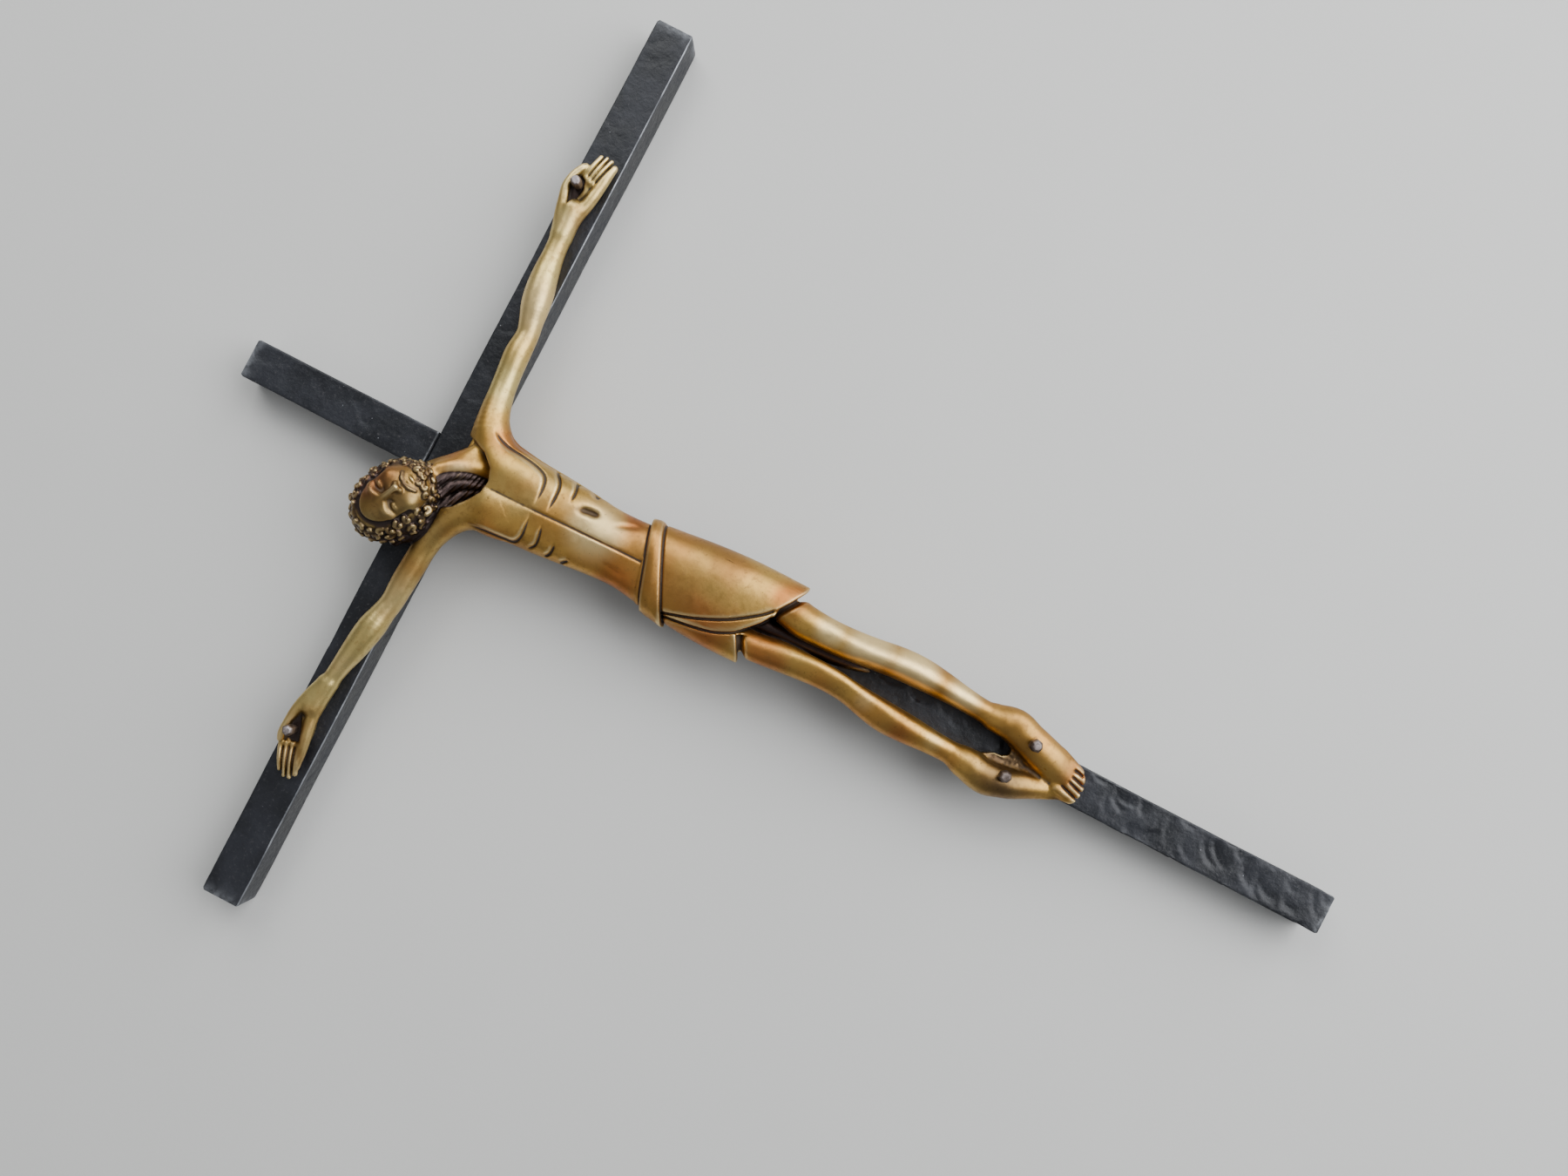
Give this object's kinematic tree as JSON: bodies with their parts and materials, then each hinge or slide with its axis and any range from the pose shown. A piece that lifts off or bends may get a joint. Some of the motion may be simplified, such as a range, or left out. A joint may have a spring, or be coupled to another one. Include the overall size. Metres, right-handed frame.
{
  "type": "altar cross",
  "caption": "Slim crucifix of square forged bars halved together, with a cast bronze figure nailed through hands and feet, to hang, lay flat or stand in a base.",
  "frame": {"origin": "under the middle of the object's box, on the flat surface that the bars' back faces lie on", "axes": "+X along the crossbar to the viewer's right, +Y up the upright to its top end, +Z out of the front, towards a viewer facing the figure"},
  "size_m": [0.33, 0.405, 0.0412],
  "materials": {
    "forged_iron": "black waxed forge scale, hammered, satin, with edges worn bright",
    "cast_bronze": "golden brown patinated bronze, satin, dark in the recesses",
    "nail_steel": "forged, dark brown, faceted",
    "screw_steel": "turned, blackened"
  },
  "bodies": {
    "root": {"upright_bar": "forged_iron", "crossbar": "forged_iron", "corpus": "cast_bronze", "hand_nail_left": "nail_steel", "hand_nail_right": "nail_steel", "foot_nail_left": "nail_steel", "foot_nail_right": "nail_steel", "crossing_screw": "screw_steel", "corpus_screw": "screw_steel"}
  },
  "joints": []
}
